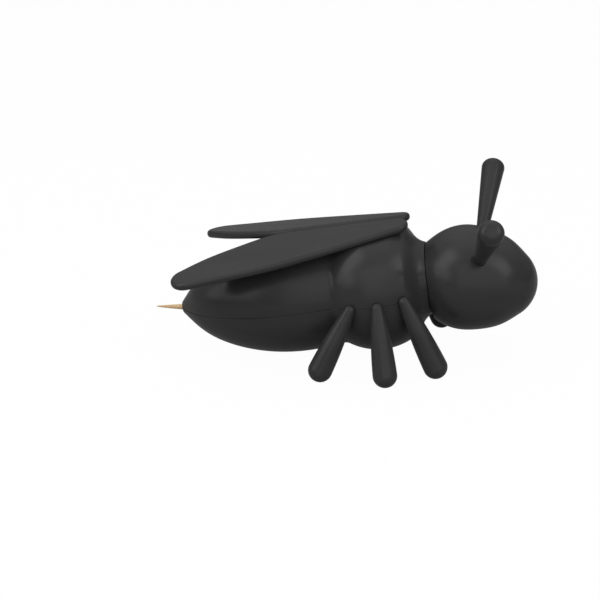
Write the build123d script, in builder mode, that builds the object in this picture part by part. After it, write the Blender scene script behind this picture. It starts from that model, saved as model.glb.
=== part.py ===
from build123d import *
import os
from math import asin, atan2, cos, degrees, radians, sin, tan

# Toothpick dispenser in the form of a winged insect.
# Millimetres, +Z up, +X from the tail to the head, +Y to the insect's left.
# A "station" is a distance from the tail end along the body axis, which climbs towards the head.

# Body: a teardrop abdomen, a ball thorax and a neck, all round about the body axis
body_pitch = 8.2
tail_height = 11.2
tail_radius = 1.65
tail_flare = 48.0
abdomen_length = 43.2
abdomen_shape = [(5.3, 7.1), (15.3, 12.5), (31.0, 15.2)]
waist_radius = 14.1
waist_slope = -10.0
waist_round = 3.0
thorax_rear = 9.1
thorax_radius = 17.0
thorax_front = 8.7
shoulder_radius = 14.5
shoulder_length = 2.7
cove_radius = 11.0
neck_length = 2.6
neck_radius = 9.2
neck_end_slope = -15.0
wall = 1.8
seam_groove_depth = 0.2
seam_groove_width = 0.16

# Neck socket, and the plug that carries the head in it
socket_depth = 6.0
socket_lip = 1.3
plug_radius = 7.65
plug_clearance = 0.1
plug_wall = 1.45
plug_lead_in = 0.5
collar_radius = 8.2
collar_clearance = 0.05
key_width = 1.6
key_height = 0.5
key_clearance = 0.12
head_seam = 0.15
head_rear_wall = 2.2

# Head: round about its own axis, which points a little down
head_ahead = 10.9
head_pitch = -7.2
head_rear_slope = 48.0
head_shape = [(-13.6, 6.8), (-9.3, 10.9), (-3.0, 13.35), (3.0, 12.8), (8.5, 10.8)]
head_nose = 16.3
nose_radius = 9.75
nose_angle = 49.5
head_wall = 1.8

# Antennae
antenna_place = 0.85
antenna_turn = 48.5
antenna_splay = 53.0
antenna_lean = 11.5
antenna_length = 23.4
antenna_root_radius = 1.45
antenna_tip_radius = 3.05
antenna_tip_corner = 2.2
antenna_peg = 3.0
antenna_clearance = 0.05
dimple_radius = 2.0
dimple_depth = 0.25

# Legs: each root ahead of the thorax's widest station, each foot ahead of its root and outside it
hind_root_ahead = -4.9
hind_foot_ahead = -7.47
hind_foot_outside = 2.87
middle_root_ahead = 1.91
middle_foot_ahead = 2.01
middle_foot_outside = 4.35
front_root_ahead = 8.2
front_foot_ahead = 7.64
front_foot_outside = 0.7
foot_radius = 3.05
foot_flat_depth = 0.12
leg_root_radius = 1.4
leg_swell = 0.3
leg_standoff = 0.5
leg_clearance = 0.08
stub_radius = 1.1
stub_clearance = 0.08
stub_flange_radius = 1.4
stub_flange_thickness = 0.7
stub_flange_clearance = 0.35

# Wings: flat plates on a shallow roof, each on a pivot peg at its round root
wing_ridge_height = 16.4
wing_roof_angle = 8.7
wing_thickness = 2.0
wing_edge_round = 0.9
wing_clearance = 0.15
wing_pivot_ahead = 7.8
wing_root_radius = 3.2
wing_midline_gap = 0.15
wing_root_angle = 22.0
wing_straight = 28.1
wing_inner_edge = [(40.5, 1.32), (48.7, 6.32)]
wing_outer_edge = [(16.6, 9.85), (30.8, 14.6), (44.5, 17.5)]
wing_tip_back = 51.3
wing_tip_out = 14.42
wing_tip_radius = 4.4
wing_tip_inner_angle = 42.0
wing_tip_outer_angle = 8.0
wing_open_left = 2.2
wing_open_right = 0.0
peg_radius = 1.25
peg_clearance = 0.05
peg_length = 4.2
peg_slot_width = 0.5
peg_slot_depth = 2.8
bead_radius = 1.5
bead_height = 0.6
bead_below_wing = 2.1
bead_clearance = 0.08
pad_radius = 2.2
pad_depth = 5.0

# Toothpicks: one stands out of the tail, the stock lies behind it
pick_length = 65.0
pick_radius = 1.0
pick_taper = 11.0
pick_tip_radius = 0.15
pick_out = 7.5
pick_pitch = 2.1
tail_hole_radius = 1.25
stock_rear = 7.0
stock_floor = 4.6
cradle_clearance = 0.15
cradle_gap = 0.1
cradle_rear_station = 36.0
cradle_front_station = 50.0
cradle_thickness = 1.4

# Screws that close the two shells from below, under the thorax
screw_station = 52.0
screw_spread = 9.4
screw_shank_radius = 0.95
screw_shank_length = 8.5
screw_head_radius = 1.9
screw_head_height = 1.3
screw_seat = 4.0
screw_slot_length = 2.66
screw_slot_width = 0.5
screw_slot_depth = 0.7
screw_clearance = 0.2
screw_bite_clearance = 0.05
boss_wall = 1.0

# Hooks of the upper shell, which hold the shells together near the tail
hook_station = 21.0
hook_width = 4.0
hook_thickness = 1.2
hook_rise = 3.0
hook_drop = 3.2
hook_barb = 0.9
hook_bite = 0.6
hook_clearance = 0.15

# Worked-out places
thorax_station = abdomen_length + thorax_rear
shoulder_station = thorax_station + thorax_front
cove_station = shoulder_station + shoulder_length
body_length = cove_station + neck_length
pitch = radians(body_pitch)
head_axis = Vector(cos(radians(head_pitch)), 0, sin(radians(head_pitch)))
head_reach = head_ahead + (head_nose - nose_radius) * head_axis.X + nose_radius
tail_x = pick_out - (pick_out + body_length * cos(pitch) + head_reach) / 2
tail = Vector(tail_x, 0, tail_height)
forward = Vector(cos(pitch), 0, sin(pitch))
upward = Vector(-sin(pitch), 0, cos(pitch))
body_axis = Axis(tail, forward)
profile_plane = Plane(origin=tail, x_dir=forward, z_dir=(0, -1, 0))
parting = Plane(origin=tail, x_dir=forward, z_dir=upward)
neck_centre = tail + forward * body_length
neck_face = Plane(origin=neck_centre, x_dir=upward, z_dir=forward)
head_centre = neck_centre + Vector(head_ahead, 0, 0)
head_plane = Plane(origin=head_centre, x_dir=head_axis, z_dir=(0, -1, 0))
wing_pivot_station = thorax_station + wing_pivot_ahead
plug_bore = plug_radius - plug_wall
socket_radius = plug_radius + plug_clearance
stock_level = stock_floor + pick_radius + cradle_gap
right_through = 2 * (body_length + thorax_radius)
sides = {"left": 1, "right": -1}
legs = [
    ("hind", hind_root_ahead, hind_foot_ahead, hind_foot_outside),
    ("middle", middle_root_ahead, middle_foot_ahead, middle_foot_outside),
    ("front", front_root_ahead, front_foot_ahead, front_foot_outside),
]


def turned_right(direction):
    """Direction turned a quarter turn clockwise in its sketch plane."""
    return Vector(direction.Y, -direction.X)


def inset_points(curve, depth, steps):
    """Points at a depth under a curve, on its right-hand side."""
    return [curve.position_at(u) + turned_right(curve.tangent_at(u)) * depth for u in steps]


def heading(angle):
    """Unit vector at an angle in degrees in a sketch plane."""
    return Vector(cos(radians(angle)), sin(radians(angle)))


# Outlines of the body and the head, in their own sketch planes
waist = Vector(abdomen_length, waist_radius)
shoulder = Vector(shoulder_station, shoulder_radius)
cove = Vector(cove_station, cove_radius)
abdomen_curve = Spline(
    (0, tail_radius), *abdomen_shape, waist, tangents=[heading(tail_flare), heading(waist_slope)]
)
thorax_curve = ThreePointArc(waist, (thorax_station, thorax_radius), shoulder)
nose_centre = Vector(head_nose - nose_radius, 0)
nose_start = nose_centre + heading(nose_angle) * nose_radius
head_curve = Spline(*head_shape, nose_start, tangents=[heading(head_rear_slope), heading(nose_angle - 90)])
thorax_centre = thorax_curve.arc_center

# Shares of each outline's length at which its inside is set off
body_inset_steps = (0, 0.1, 0.25, 0.45, 0.7, 1)
head_inset_steps = (0, 0.2, 0.4, 0.6, 0.8, 1)
hook_ring_steps = (0.35, 0.45, 0.55, 0.65, 0.75)


def body_of_revolution(depth, closing_points):
    """Solid that lies a depth under the outside of abdomen and thorax, closed at the neck by points."""
    slope_in = turned_right((cove - shoulder).normalized()) * depth
    with BuildPart() as blank:
        with BuildSketch(profile_plane):
            with BuildLine():
                rear = Spline(*inset_points(abdomen_curve, depth, body_inset_steps))
                top = (thorax_station, thorax_radius - depth)
                ball = ThreePointArc(rear @ 1, top, shoulder + slope_in)
                front = Polyline(ball @ 1, cove + slope_in, *closing_points)
                Polyline(front @ 1, (front @ 1).X * Vector(1, 0), (rear @ 0).X * Vector(1, 0), rear @ 0)
            make_face()
        revolve(axis=body_axis)
    return blank.part


def outer_body():
    """The whole outside form of abdomen, thorax and neck."""
    with BuildPart() as blank:
        with BuildSketch(profile_plane):
            with BuildLine():
                add(abdomen_curve)
                add(thorax_curve)
                neck_end = (body_length, neck_radius)
                Spline(shoulder, cove, neck_end, tangents=[thorax_curve % 1, heading(neck_end_slope)])
                Polyline(neck_end, (body_length, 0), (0, 0), (0, tail_radius))
            make_face()
        revolve(axis=body_axis)
        waist_point = profile_plane.from_local_coords(Vector(waist.X, waist.Y, 0))
        fillet(blank.edges().sort_by_distance(waist_point)[0], waist_round)
    return blank.part


def wing_pivot_plane(side, opening=0.0):
    """Plane of a wing's middle at its pivot: X to the tail, Z away from the body."""
    roof = radians(wing_roof_angle)
    normal = upward * cos(roof) + Vector(0, side, 0) * sin(roof)
    outward = Vector(0, side, 0) * cos(roof) - upward * sin(roof)
    pivot_out = wing_midline_gap + wing_root_radius
    origin = tail + forward * wing_pivot_station + upward * wing_ridge_height + outward * pivot_out
    return Plane(origin=origin, x_dir=forward * -1, z_dir=normal).rotated((0, 0, -side * opening))


def under_wings(solid, level):
    """The part of a solid that lies under both wings' planes, a level below their middle."""
    with BuildPart() as lowered:
        add(solid)
        for side in sides.values():
            split(bisect_by=wing_pivot_plane(side).offset(-level), keep=Keep.BOTTOM)
    return lowered.part


def plane_along(start, direction):
    """Sketch plane with X along a direction."""
    across = direction.cross(Vector(1, 0, 0))
    if across.length < 0.1:
        across = Vector(0, 1, 0)
    return Plane(origin=start, x_dir=direction, z_dir=across)


def leg_root(root_ahead, side):
    """Centre of a leg's root, just off the thorax ball, and the outward direction there."""
    angle = asin((thorax_station + root_ahead - thorax_centre.X) / thorax_curve.radius)
    out = forward * sin(angle) + Vector(0, side, 0) * cos(angle)
    centre = tail + forward * thorax_centre.X + Vector(0, side * thorax_centre.Y, 0)
    return centre + out * (thorax_curve.radius + leg_standoff), out


def leg_club(root, foot, extra=0.0):
    """Tapered leg with a round root and a round foot."""
    run = foot - root
    plane = plane_along(root, run.normalized())
    small = leg_root_radius + extra
    large = foot_radius + extra
    lean = degrees(atan2(large - small, run.length))
    with BuildPart() as club:
        with BuildSketch(plane):
            with BuildLine():
                start = heading(90 + lean) * small
                end = Vector(run.length, 0) + heading(90 + lean) * large
                ThreePointArc((-small, 0), heading(135) * small, start)
                middle = (start + end) / 2 + heading(90 + lean) * leg_swell
                ThreePointArc(start, middle, end)
                ThreePointArc(end, Vector(run.length, 0) + heading(30) * large, (run.length + large, 0))
                Line((run.length + large, 0), (-small, 0))
            make_face()
        revolve(axis=Axis(plane.origin, plane.x_dir))
    return club.part


def leg_stub(root, out, extra=0.0):
    """Round stub that runs inwards from a leg's root through the shell."""
    length = leg_standoff + wall + stub_flange_clearance + stub_flange_thickness
    with BuildPart() as stub:
        with BuildSketch(Plane(origin=root, z_dir=out * -1)):
            Circle(stub_radius + extra)
        extrude(amount=length)
    return stub.part


def foot_centre(root, ahead, outside, side):
    """Centre of the foot ball, which stands on its small flat."""
    return Vector(root.X + ahead, root.Y + side * outside, foot_radius - foot_flat_depth)


def make_leg(root_ahead, ahead, outside, side):
    """Leg with its stub and the flange that holds it inside the shells."""
    root, out = leg_root(root_ahead, side)
    flange_in = leg_standoff + wall + stub_flange_clearance
    with BuildPart() as leg:
        add(leg_club(root, foot_centre(root, ahead, outside, side)))
        split(bisect_by=Plane.XY, keep=Keep.TOP)
        add(leg_stub(root, out))
        with BuildSketch(Plane(origin=root - out * flange_in, z_dir=out * -1)):
            Circle(stub_flange_radius)
        extrude(amount=stub_flange_thickness)
    return leg


def leg_cutters():
    """Clearance forms of all six legs, for the seats in the shells."""
    cutters = []
    for name, root_ahead, ahead, outside in legs:
        for side in sides.values():
            root, out = leg_root(root_ahead, side)
            cutters.append(leg_club(root, foot_centre(root, ahead, outside, side), leg_clearance))
            cutters.append(leg_stub(root, out, stub_clearance))
    return cutters


def make_pick(start, direction):
    """Double-pointed round toothpick."""
    plane = plane_along(start, direction)
    with BuildPart() as pick:
        with BuildSketch(plane):
            Polygon(
                (0, 0),
                (0, pick_tip_radius),
                (pick_taper, pick_radius),
                (pick_length - pick_taper, pick_radius),
                (pick_length, pick_tip_radius),
                (pick_length, 0),
                align=None,
            )
        revolve(axis=Axis(plane.origin, plane.x_dir))
    return pick


def screw_places():
    """The two screws' places on the parting plane."""
    return [(screw_station, side * screw_spread) for side in sides.values()]


def beside_wall(outer_depth, inner_depth, low, high, width):
    """Two pieces between two depths under the abdomen's outside, left and right at the hooks."""
    with BuildPart() as pair:
        with BuildSketch(profile_plane):
            with BuildLine():
                outer = Spline(*inset_points(abdomen_curve, outer_depth, hook_ring_steps))
                inner = Spline(*inset_points(abdomen_curve, inner_depth, hook_ring_steps))
                Line(outer @ 0, inner @ 0)
                Line(outer @ 1, inner @ 1)
            make_face()
        revolve(axis=body_axis)
        with BuildSketch(parting.offset(low)):
            with Locations((hook_station, 0)):
                Rectangle(width, right_through)
        extrude(amount=high - low, mode=Mode.INTERSECT)
    return pair.part


def head_of_revolution(depth):
    """Head form a depth under its outside."""
    with BuildPart() as form:
        with BuildSketch(head_plane):
            with BuildLine():
                edge = Spline(*inset_points(head_curve, depth, head_inset_steps))
                nose_tip = nose_centre + Vector(nose_radius - depth, 0)
                nose_middle = nose_centre + heading(nose_angle / 2) * (nose_radius - depth)
                ThreePointArc(edge @ 1, nose_middle, nose_tip)
                Polyline(nose_tip, (edge @ 0).X * Vector(1, 0), edge @ 0)
            make_face()
        revolve(axis=Axis(head_centre, head_axis))
    return form.part


def antenna_frame(side):
    """Root of an antenna on the head's outside, and its direction."""
    step = 0.5
    low = 0.0
    high = 1.0
    for _ in range(40):
        step = (low + high) / 2
        if head_curve.position_at(step).X < antenna_place:
            low = step
        else:
            high = step
    place = head_curve.position_at(step)
    turn = radians(antenna_turn)
    radial = head_plane.y_dir * cos(turn) + Vector(0, side, 0) * sin(turn)
    root = head_centre + head_axis * place.X + radial * place.Y
    direction = Vector(tan(radians(antenna_lean)), side * tan(radians(antenna_splay)), 1).normalized()
    return root, direction


def on_wing(side, place):
    """A wing's place (back, out) as a point of its sketch plane."""
    return Vector(Vector(place).X, -side * Vector(place).Y)


def save(piece, name):
    """Label a finished piece and write it."""
    piece.part.label = name
    export_step(piece.part, f"parts/{name}.step")


os.makedirs("parts", exist_ok=True)

# Blanks that the two shells are cut from
outside = outer_body()
lip_radius = socket_radius + socket_lip
socket_start = body_length - socket_depth
cove_in = (cove + turned_right((cove - shoulder).normalized()) * wall).X
cavity = body_of_revolution(wall, [(cove_in, lip_radius), (socket_start, lip_radius)])
groove_core = body_of_revolution(seam_groove_depth, [(body_length, neck_radius - seam_groove_depth)])

with BuildPart() as seam_groove:
    with BuildSketch(parting.offset(-seam_groove_width / 2)):
        Rectangle(right_through, right_through)
    extrude(amount=seam_groove_width)
    add(groove_core, mode=Mode.SUBTRACT)

with BuildPart() as upper_bosses:
    with BuildSketch(parting):
        with Locations(*screw_places()):
            Circle(screw_head_radius + screw_clearance + boss_wall)
    extrude(amount=thorax_radius)
    add(under_wings(outside, wing_thickness / 2 + wing_clearance), mode=Mode.INTERSECT)

with BuildPart() as lower_inside:
    with BuildSketch(parting):
        with Locations(*screw_places()):
            Circle(screw_head_radius + screw_clearance + boss_wall)
    extrude(amount=-thorax_radius)
    for station in (cradle_rear_station, cradle_front_station):
        with BuildSketch(parting.offset(-stock_level)):
            with Locations((station, 0)):
                Rectangle(cradle_thickness, 2 * thorax_radius)
        extrude(amount=-thorax_radius)
    add(outside, mode=Mode.INTERSECT)

hook_outside = wall + hook_clearance
hook_inside = hook_outside + hook_thickness
hook_root = beside_wall(wall / 2, hook_inside, 0, hook_rise, hook_width)
hook_arm = beside_wall(hook_outside, hook_inside, -hook_drop, hook_rise, hook_width)
hook_end = beside_wall(wall - hook_bite, hook_inside, -hook_drop, hook_barb - hook_drop, hook_width)
pocket_low = -hook_drop - hook_clearance
pocket_high = hook_barb - hook_drop + hook_clearance
pocket_width = hook_width + 2 * hook_clearance
pocket_outside = wall - hook_bite - hook_clearance
hook_pocket = beside_wall(pocket_outside, hook_inside, pocket_low, pocket_high, pocket_width)

with BuildPart() as pick_groove:
    with BuildSketch(Plane(origin=tail, z_dir=(1, 0, 0))):
        Circle(pick_radius + cradle_clearance)
    extrude(amount=pick_length - pick_out)

with BuildPart() as tail_hole:
    with BuildSketch(Plane(origin=tail - Vector(wall, 0, 0), z_dir=(1, 0, 0))):
        Circle(tail_hole_radius)
    extrude(amount=3 * wall)

with BuildPart() as socket_bore:
    with BuildSketch(neck_face):
        Circle(socket_radius)
    extrude(amount=-socket_depth)
    with BuildSketch(neck_face):
        with Locations((socket_radius, 0)):
            Rectangle(2 * key_height, key_width)
    extrude(amount=-socket_depth, mode=Mode.SUBTRACT)

# Upper shell: roof, wing pads, screw bosses, tail hooks
with BuildPart() as upper_shell:
    add(under_wings(outside, wing_thickness / 2 + wing_clearance))
    split(bisect_by=parting, keep=Keep.TOP)
    add(under_wings(cavity, wing_thickness / 2 + wing_clearance + wall), mode=Mode.SUBTRACT)
    add(upper_bosses.part)
    add([hook_root, hook_arm, hook_end])
    for side in sides.values():
        seat = wing_pivot_plane(side).offset(-wing_thickness / 2 - wing_clearance)
        with BuildSketch(seat):
            Circle(pad_radius)
        extrude(amount=-pad_depth)
        with BuildSketch(seat):
            Circle(peg_radius + peg_clearance)
        extrude(amount=-pad_depth - wall, mode=Mode.SUBTRACT)
        bead_middle = wing_thickness / 2 + bead_below_wing
        with BuildSketch(wing_pivot_plane(side).offset(-bead_middle - bead_height / 2 - bead_clearance)):
            Circle(bead_radius + bead_clearance)
        extrude(amount=bead_height + 2 * bead_clearance, mode=Mode.SUBTRACT)
    with BuildSketch(parting):
        with Locations(*screw_places()):
            Circle(screw_shank_radius + screw_bite_clearance)
    extrude(amount=screw_shank_length - screw_seat + wall / 2, mode=Mode.SUBTRACT)
    add(socket_bore.part, mode=Mode.SUBTRACT)
    add(tail_hole.part, mode=Mode.SUBTRACT)
    add(seam_groove.part, mode=Mode.SUBTRACT)
    add(leg_cutters(), mode=Mode.SUBTRACT)
save(upper_shell, "upper_shell")

# Lower shell: belly, screw wells, cradle ribs, pockets for the hooks
with BuildPart() as lower_shell:
    add(outside)
    split(bisect_by=parting, keep=Keep.BOTTOM)
    add(cavity, mode=Mode.SUBTRACT)
    add(lower_inside.part)
    with BuildSketch(parting.offset(-screw_seat)):
        with Locations(*screw_places()):
            Circle(screw_head_radius + screw_clearance)
    extrude(amount=-thorax_radius, mode=Mode.SUBTRACT)
    with BuildSketch(parting):
        with Locations(*screw_places()):
            Circle(screw_shank_radius + screw_clearance)
    extrude(amount=-screw_seat, mode=Mode.SUBTRACT)
    add(hook_pocket, mode=Mode.SUBTRACT)
    add(pick_groove.part, mode=Mode.SUBTRACT)
    add(socket_bore.part, mode=Mode.SUBTRACT)
    add(tail_hole.part, mode=Mode.SUBTRACT)
    add(seam_groove.part, mode=Mode.SUBTRACT)
    add(leg_cutters(), mode=Mode.SUBTRACT)
save(lower_shell, "lower_shell")

# Screws: two alike, with cross recesses
with BuildPart() as shell_screws:
    with BuildSketch(parting.offset(-screw_seat)):
        with Locations(*screw_places()):
            Circle(screw_shank_radius)
    extrude(amount=screw_shank_length)
    with BuildSketch(parting.offset(-screw_seat)):
        with Locations(*screw_places()):
            Circle(screw_head_radius)
    extrude(amount=-screw_head_height)
    with BuildSketch(parting.offset(-screw_seat - screw_head_height)):
        with Locations(*screw_places()):
            Rectangle(screw_slot_length, screw_slot_width)
            Rectangle(screw_slot_width, screw_slot_length)
    extrude(amount=screw_slot_depth, mode=Mode.SUBTRACT)
save(shell_screws, "shell_screws")

# Plug: spigot with a keyway, and the collar that is fixed in the head
with BuildPart() as head_plug:
    with BuildSketch(neck_face.offset(-socket_depth)):
        Circle(plug_radius)
    extrude(amount=socket_depth + head_seam + head_rear_wall / 2)
    chamfer(head_plug.faces().sort_by(Axis(neck_centre, forward))[0].edges(), plug_lead_in)
    with BuildSketch(neck_face.offset(head_seam)):
        Circle(collar_radius)
    extrude(amount=head_rear_wall)
    with BuildSketch(neck_face.offset(-socket_depth)):
        Circle(plug_bore)
    extrude(amount=socket_depth + head_seam + head_rear_wall, mode=Mode.SUBTRACT)
    with BuildSketch(neck_face.offset(-socket_depth)):
        with Locations((socket_radius, 0)):
            Rectangle(2 * (key_height + key_clearance), key_width + 2 * key_clearance)
    extrude(amount=socket_depth + head_seam, mode=Mode.SUBTRACT)
save(head_plug, "head_plug")

# Head shell: round shell with a flat rear wall, a collar bore, and a dimple and a hole at each antenna
with BuildPart() as head_hollow:
    add(head_of_revolution(head_wall))
    split(bisect_by=neck_face.offset(head_seam + head_rear_wall), keep=Keep.TOP)

with BuildPart() as head_shell:
    add(head_of_revolution(0))
    split(bisect_by=neck_face.offset(head_seam), keep=Keep.TOP)
    add(head_hollow.part, mode=Mode.SUBTRACT)
    with BuildSketch(neck_face):
        Circle(collar_radius + collar_clearance)
    extrude(amount=head_seam + head_rear_wall, mode=Mode.SUBTRACT)
    for side in sides.values():
        root, direction = antenna_frame(side)
        dimple_ball = (dimple_radius**2 + dimple_depth**2) / (2 * dimple_depth)
        with Locations(root + direction * (dimple_ball - dimple_depth)):
            Sphere(dimple_ball, mode=Mode.SUBTRACT)
        with BuildSketch(Plane(origin=root - direction * antenna_peg, z_dir=direction)):
            Circle(antenna_root_radius + antenna_clearance)
        extrude(amount=2 * antenna_peg, mode=Mode.SUBTRACT)
save(head_shell, "head_shell")

# Antennae: clubs on round pegs
for side_name, side in sides.items():
    root, direction = antenna_frame(side)
    plane = plane_along(root, direction)
    with BuildPart() as antenna:
        with BuildSketch(plane):
            with BuildLine():
                corner = Vector(antenna_length - antenna_tip_corner, antenna_tip_radius - antenna_tip_corner)
                Polyline(
                    (antenna_length, 0),
                    (-antenna_peg, 0),
                    (-antenna_peg, antenna_root_radius),
                    (0, antenna_root_radius),
                    corner + Vector(0, antenna_tip_corner),
                )
                ThreePointArc(
                    corner + Vector(0, antenna_tip_corner),
                    corner + heading(45) * antenna_tip_corner,
                    corner + Vector(antenna_tip_corner, 0),
                )
                Line(corner + Vector(antenna_tip_corner, 0), (antenna_length, 0))
            make_face()
        revolve(axis=Axis(plane.origin, plane.x_dir))
    save(antenna, f"antenna_{side_name}")

# Legs
for leg_name, root_ahead, foot_ahead, foot_outside in legs:
    for side_name, side in sides.items():
        leg = make_leg(root_ahead, foot_ahead, foot_outside, side)
        save(leg, f"leg_{leg_name}_{side_name}")

# Wings: plate with a rounded edge, and a split pivot peg with a snap bead
root_outer = heading(90 + wing_root_angle) * wing_root_radius
root_rear = Vector(-wing_root_radius, 0)
root_inner = Vector(0, -wing_root_radius)
straight_end = Vector(wing_straight, -wing_root_radius)
tip_centre = Vector(wing_tip_back, wing_tip_out)
tip_inner = tip_centre + heading(wing_tip_inner_angle - 90) * wing_tip_radius
tip_end = tip_centre + Vector(wing_tip_radius, 0)
tip_outer = tip_centre + heading(wing_tip_outer_angle + 90) * wing_tip_radius
for side_name, opening in (("left", wing_open_left), ("right", wing_open_right)):
    side = sides[side_name]
    middle = wing_pivot_plane(side, opening)
    root_arc = [on_wing(side, place) for place in (root_outer, root_rear, root_inner)]
    inner_edge = [on_wing(side, place) for place in (straight_end, *wing_inner_edge, tip_inner)]
    tip_arc = [on_wing(side, place) for place in (tip_inner, tip_end, tip_outer)]
    outer_edge = [on_wing(side, place) for place in (root_outer, *wing_outer_edge, tip_outer)]
    inner_ends = [on_wing(side, heading(angle)) for angle in (0, wing_tip_inner_angle)]
    outer_ends = [on_wing(side, heading(angle)) for angle in (wing_root_angle, wing_tip_outer_angle)]
    with BuildPart() as wing:
        with BuildSketch(middle.offset(-wing_thickness / 2)):
            with BuildLine():
                ThreePointArc(*root_arc)
                Line(root_arc[-1], inner_edge[0])
                Spline(*inner_edge, tangents=inner_ends)
                ThreePointArc(*tip_arc)
                Spline(*outer_edge, tangents=outer_ends)
            make_face()
        extrude(amount=wing_thickness)
        fillet(wing.faces().sort_by(Axis(middle.origin, middle.z_dir))[0].edges(), wing_edge_round)
        fillet(wing.faces().sort_by(Axis(middle.origin, middle.z_dir))[-1].edges(), wing_edge_round)
        with BuildSketch(middle):
            Circle(peg_radius)
        extrude(amount=-wing_thickness / 2 - peg_length)
        with BuildSketch(middle.offset(-wing_thickness / 2 - bead_below_wing - bead_height / 2)):
            Circle(bead_radius)
        extrude(amount=bead_height)
        with BuildSketch(middle.offset(-wing_thickness / 2 - peg_length)):
            Rectangle(2 * (bead_radius + bead_height), peg_slot_width)
        extrude(amount=peg_slot_depth, mode=Mode.SUBTRACT)
    save(wing, f"wing_{side_name}")

# Toothpick that stands out of the tail, level
toothpick_out = make_pick(tail - Vector(pick_out, 0, 0), Vector(1, 0, 0))
save(toothpick_out, "toothpick_out")

# Stock: rows that leave the middle free for the pick that goes out
row_rise = pick_pitch * sin(radians(60))
stock_places = []
for side in sides.values():
    stock_places.append((side * pick_pitch, -stock_floor))
    stock_places.append((side * 1.5 * pick_pitch, -stock_floor + row_rise))
    stock_places.append((side * pick_pitch, -stock_floor + 2 * row_rise))
    stock_places.append((side * 2 * pick_pitch, -stock_floor + 2 * row_rise))
for number, (across, above) in enumerate(stock_places, start=1):
    start = tail + forward * stock_rear + Vector(0, across, 0) + upward * above
    stock_pick = make_pick(start, forward)
    save(stock_pick, f"toothpick_{number:02d}")
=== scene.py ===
import math

import bmesh
import bpy
import numpy as np
from mathutils import Matrix, Vector


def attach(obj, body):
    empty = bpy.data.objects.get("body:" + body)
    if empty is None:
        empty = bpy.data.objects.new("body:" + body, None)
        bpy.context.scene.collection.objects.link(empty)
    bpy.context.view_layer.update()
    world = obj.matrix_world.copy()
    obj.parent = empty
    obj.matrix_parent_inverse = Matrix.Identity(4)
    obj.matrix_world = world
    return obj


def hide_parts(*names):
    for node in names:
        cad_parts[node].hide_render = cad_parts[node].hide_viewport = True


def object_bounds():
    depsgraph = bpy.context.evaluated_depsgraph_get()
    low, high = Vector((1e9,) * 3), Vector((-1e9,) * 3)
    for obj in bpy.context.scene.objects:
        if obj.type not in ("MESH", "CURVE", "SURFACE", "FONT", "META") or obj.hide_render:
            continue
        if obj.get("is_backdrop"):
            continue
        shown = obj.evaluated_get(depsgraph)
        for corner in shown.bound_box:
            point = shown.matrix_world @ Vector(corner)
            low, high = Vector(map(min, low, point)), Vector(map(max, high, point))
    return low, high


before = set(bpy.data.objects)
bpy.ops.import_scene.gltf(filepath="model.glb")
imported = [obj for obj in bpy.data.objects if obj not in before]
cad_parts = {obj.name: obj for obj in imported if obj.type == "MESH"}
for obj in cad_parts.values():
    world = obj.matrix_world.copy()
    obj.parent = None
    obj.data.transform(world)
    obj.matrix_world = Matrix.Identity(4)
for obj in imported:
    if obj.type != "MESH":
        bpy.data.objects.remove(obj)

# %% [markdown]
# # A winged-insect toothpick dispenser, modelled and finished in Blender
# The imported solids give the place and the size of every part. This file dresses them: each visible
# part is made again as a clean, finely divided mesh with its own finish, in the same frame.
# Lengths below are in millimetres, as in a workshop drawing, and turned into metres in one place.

for starter in ("Cube", "Light", "Camera"):
    if starter in bpy.data.objects:
        bpy.data.objects.remove(bpy.data.objects[starter])
cad_low, cad_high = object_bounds()
MM = 0.001
print("box of the solids, mm:", [round(v / MM, 2) for v in (*cad_low, *cad_high)])

# %% [markdown]
# ## The shared frame
# The abdomen, the thorax and the neck are turned about one axis, which climbs 8.2 degrees towards
# the head. A "station" is a distance from the tail end along it. Every turned part is drawn lying
# on the X axis and then laid on its own axis by a matrix, so one drawing rule serves them all.

# %% Body frame
BODY_PITCH = math.radians(8.2)
FORWARD = Vector((math.cos(BODY_PITCH), 0, math.sin(BODY_PITCH)))
UPWARD = Vector((-math.sin(BODY_PITCH), 0, math.cos(BODY_PITCH)))
LEFT = Vector((0, 1, 0))
LEVEL = Vector((1, 0, 0))
ZENITH = Vector((0, 0, 1))
SIDES = {"left": 1, "right": -1}
TAIL_HEIGHT = 11.2
PICK_OUT = 7.5
ABDOMEN_LENGTH = 43.2
THORAX_REAR = 9.1
THORAX_FRONT = 8.7
COVE_RUN = 2.7
NECK_RUN = 2.6
THORAX_STATION = ABDOMEN_LENGTH + THORAX_REAR
SHOULDER_STATION = THORAX_STATION + THORAX_FRONT
COVE_STATION = SHOULDER_STATION + COVE_RUN
BODY_LENGTH = COVE_STATION + NECK_RUN
HEAD_AHEAD = 10.9
HEAD_PITCH = math.radians(-7.2)
HEAD_NOSE = 16.3
NOSE_RADIUS = 9.75
HEAD_AXIS = Vector((math.cos(HEAD_PITCH), 0, math.sin(HEAD_PITCH)))
head_reach = HEAD_AHEAD + (HEAD_NOSE - NOSE_RADIUS) * HEAD_AXIS.x + NOSE_RADIUS
TAIL = Vector((PICK_OUT - (PICK_OUT + BODY_LENGTH * FORWARD.x + head_reach) / 2, 0, TAIL_HEIGHT))
NECK = TAIL + FORWARD * BODY_LENGTH
HEAD_CENTRE = NECK + LEVEL * HEAD_AHEAD


def laid_on(origin, axis, up):
    """Matrix that lays a part drawn along X, in mm, on an axis, with its Z towards up."""
    along = axis.normalized()
    side = up.cross(along).normalized()
    turned = Matrix((along, side, along.cross(side))).transposed()
    return Matrix.LocRotScale(origin, turned.to_quaternion(), Vector((1, 1, 1)))


BODY_FRAME = laid_on(TAIL, FORWARD, UPWARD)
HEAD_FRAME = laid_on(HEAD_CENTRE, HEAD_AXIS, ZENITH)
NECK_FRAME = laid_on(NECK, FORWARD, UPWARD)
print("tail", [round(v, 3) for v in TAIL], "neck", [round(v, 3) for v in NECK])

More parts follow.
